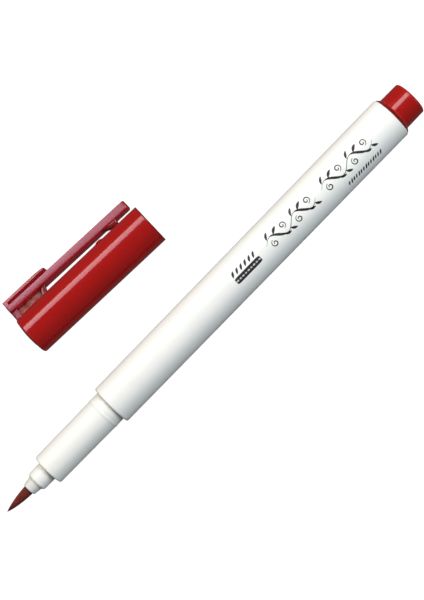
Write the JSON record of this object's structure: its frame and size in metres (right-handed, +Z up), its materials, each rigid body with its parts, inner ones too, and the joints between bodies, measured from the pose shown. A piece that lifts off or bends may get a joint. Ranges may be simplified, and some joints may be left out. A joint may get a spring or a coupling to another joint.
{
  "type": "brush pen",
  "caption": "Brush pen with a white stepped barrel, a pointed porous nib and a red tail plug, its red push-on cap with a springy side clip taken off and lying beside it.",
  "frame": {"origin": "centre of the whole object's bounding box, on the surface that the pen and its cap lie on", "axes": "+X along the pen from the nib to the tail, +Y from the pen towards the cap, +Z up from the table"},
  "size_m": [0.1392, 0.0416, 0.0114],
  "materials": {
    "barrel_white": "satin",
    "section_white": "satin",
    "holder_white": "satin",
    "nib_fibre": "porous, inked",
    "reservoir_fibre": "bonded fibre, inked",
    "film": "thin film",
    "plug_red": "gloss",
    "cap_red": "gloss",
    "clip_red": "gloss",
    "liner": "natural"
  },
  "bodies": {
    "pen": {"barrel": "barrel_white", "front_section": "section_white", "nib_holder": "holder_white", "ink_reservoir": "reservoir_fibre", "reservoir_film": "film", "tail_plug": "plug_red"},
    "nib": {"brush_nib": "nib_fibre"},
    "cap": {"cap_shell": "cap_red", "inner_cap": "liner"},
    "cap_clip": {"clip": "clip_red"}
  },
  "joints": [
    {"name": "cap_slide", "type": "slide", "parent": "pen", "child": "cap", "axis": [-0.9991, 0.0429, 0], "range_m": [0, 0.085]},
    {"name": "clip_flex", "type": "hinge", "parent": "cap", "child": "cap_clip", "pos_m": [-0.02357, 0.0174, 0.00224], "axis": [0.0164, 0.3823, 0.9239], "range_deg": [0, 5], "stiffness_Nm_per_rad": 0.8},
    {"name": "nib_flex", "type": "hinge", "parent": "pen", "child": "nib", "pos_m": [-0.0624, -0.01512, 0.00572], "axis": [0, 0, 1], "range_deg": [-12, 12], "stiffness_Nm_per_rad": 0.004, "deforming": ["brush_nib"]}
  ]
}
